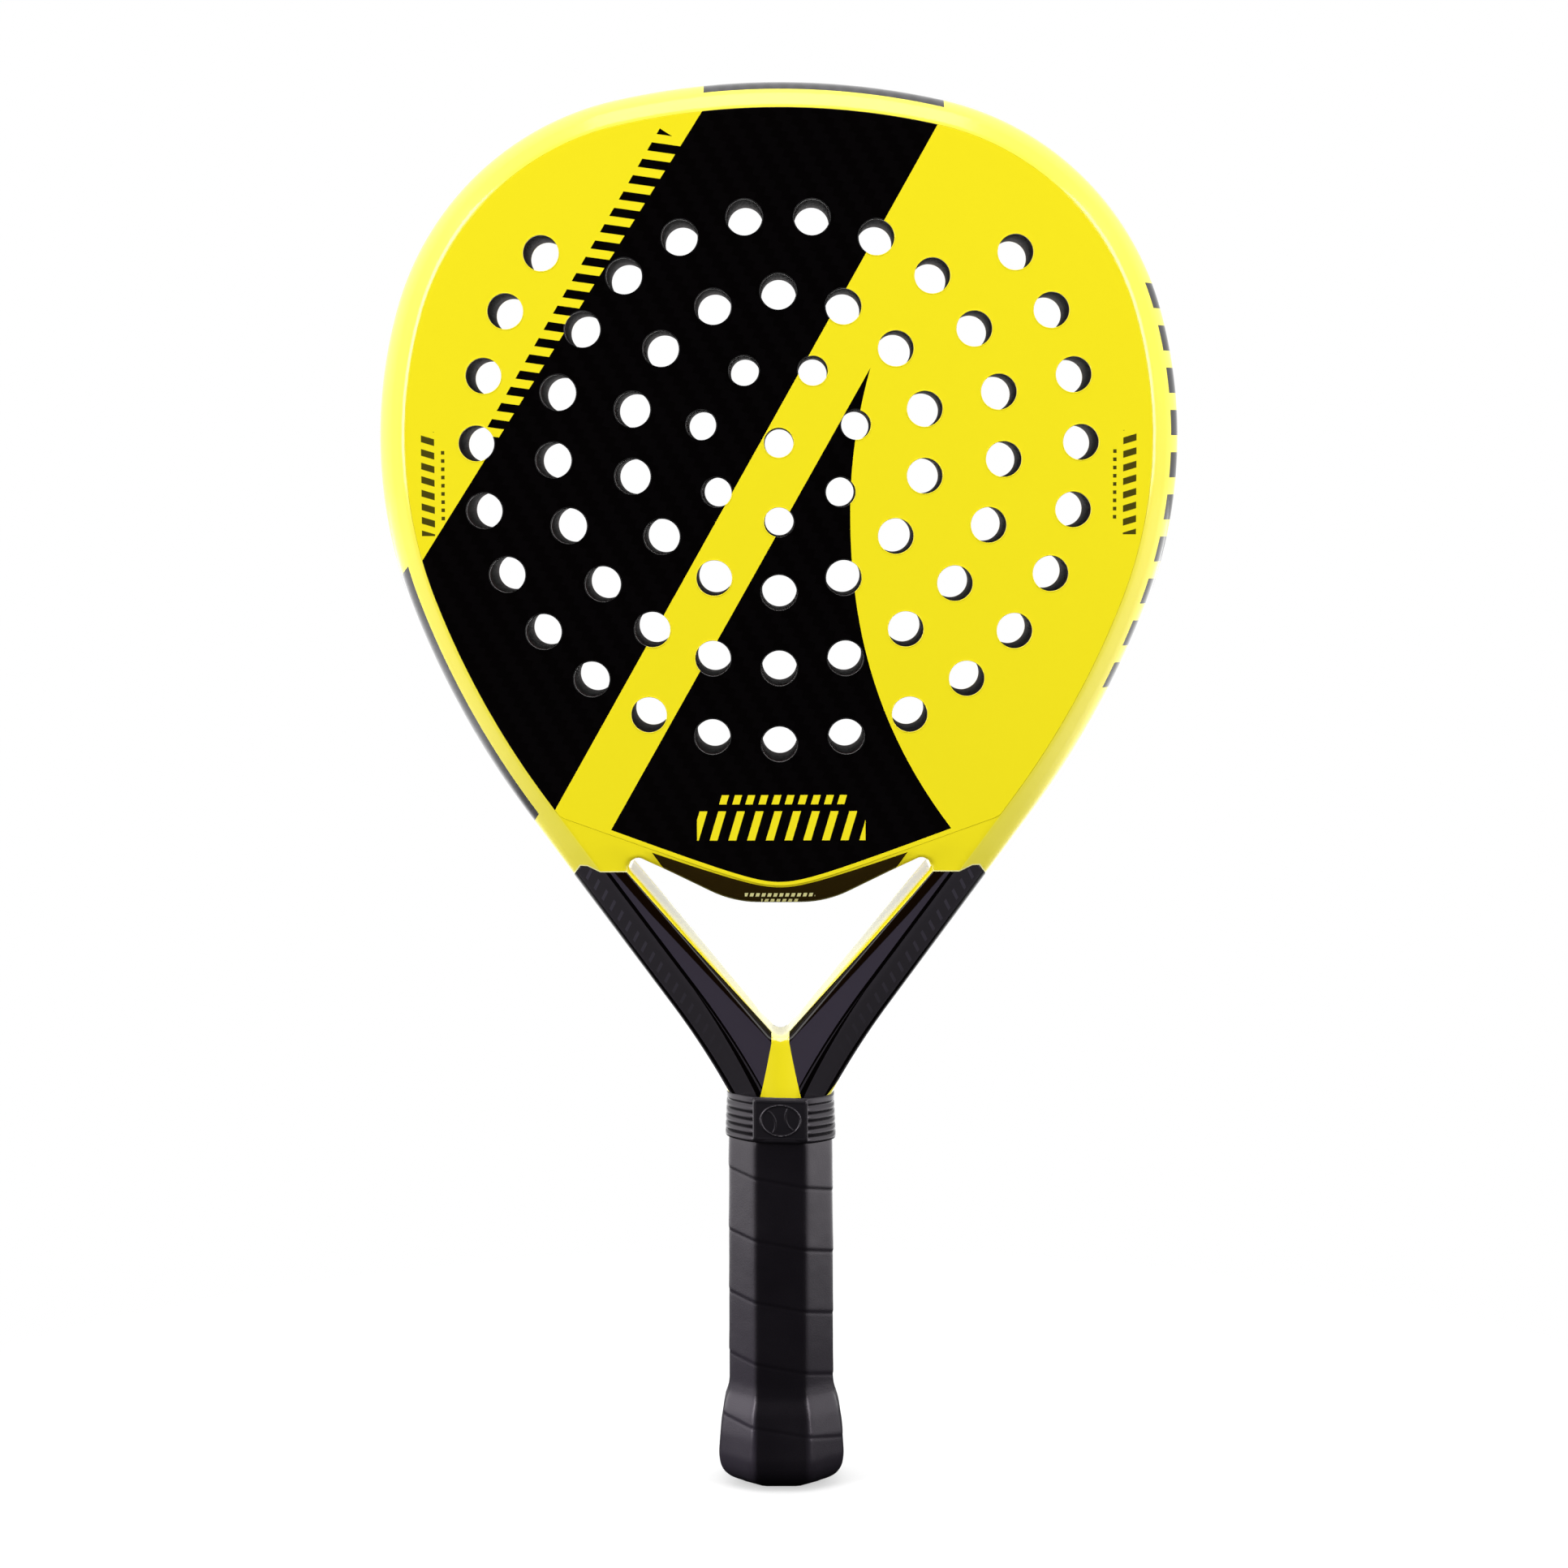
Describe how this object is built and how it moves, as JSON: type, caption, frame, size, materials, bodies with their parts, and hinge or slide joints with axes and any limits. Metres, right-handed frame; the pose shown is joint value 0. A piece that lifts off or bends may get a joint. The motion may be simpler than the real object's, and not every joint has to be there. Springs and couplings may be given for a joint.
{
  "type": "padel racket",
  "caption": "Padel racket: perforated foam-cored head in a hollow carbon hoop, open throat, taped handle with a ribbed collar and a flared end cap.",
  "frame": {"origin": "middle of the butt end, where the racket would stand upright", "axes": "+Z from the butt to the tip, +X across the face, -Y out of the front face"},
  "size_m": [0.2564, 0.0406, 0.455],
  "materials": {
    "painted_carbon": "satin lacquer over carbon laminate",
    "bare_carbon": "clear-coated carbon weave",
    "face_paint": "satin printed lacquer on a carbon sheet",
    "core_foam": "closed-cell soft foam, dark",
    "capsule_plastic": "moulded, semi-matt",
    "plug_rubber": "moulded rubber",
    "cradle_foam": "cut foam",
    "steel": "plain steel",
    "pallet_foam": "rigid moulded foam",
    "cap_plastic": "moulded, fine texture",
    "grip_tape": "cushioned synthetic, dry satin",
    "closing_tape": "thin woven tape",
    "collar_rubber": "moulded rubber, satin"
  },
  "bodies": {
    "racket": {"frame_tube": "painted_carbon", "throat_bridge": "bare_carbon", "yoke_filler": "painted_carbon", "foam_core": "core_foam", "face_front": "face_paint", "face_back": "face_paint", "capsule_tube_left": "capsule_plastic", "capsule_tube_right": "capsule_plastic", "capsule_plug_upper_left": "plug_rubber", "capsule_plug_lower_left": "plug_rubber", "capsule_plug_upper_right": "plug_rubber", "capsule_plug_lower_right": "plug_rubber", "capsule_cradle_upper_left": "cradle_foam", "capsule_cradle_lower_left": "cradle_foam", "capsule_cradle_upper_right": "cradle_foam", "capsule_cradle_lower_right": "cradle_foam", "pallet_front": "pallet_foam", "pallet_back": "pallet_foam", "butt_cap": "cap_plastic", "cap_staples": "steel", "base_grip": "grip_tape", "finishing_tape": "closing_tape", "rubber_collar": "collar_rubber"},
    "beads_left": {"bead_column_left": "steel"},
    "beads_right": {"bead_column_right": "steel"}
  },
  "joints": [
    {"name": "bead_slide_left", "type": "slide", "parent": "racket", "child": "beads_left", "axis": [-0.0872, 0, 0.9962], "range_m": [0, 0.0067]},
    {"name": "bead_slide_right", "type": "slide", "parent": "racket", "child": "beads_right", "axis": [0.0872, 0, 0.9962], "range_m": [0, 0.0067]}
  ]
}
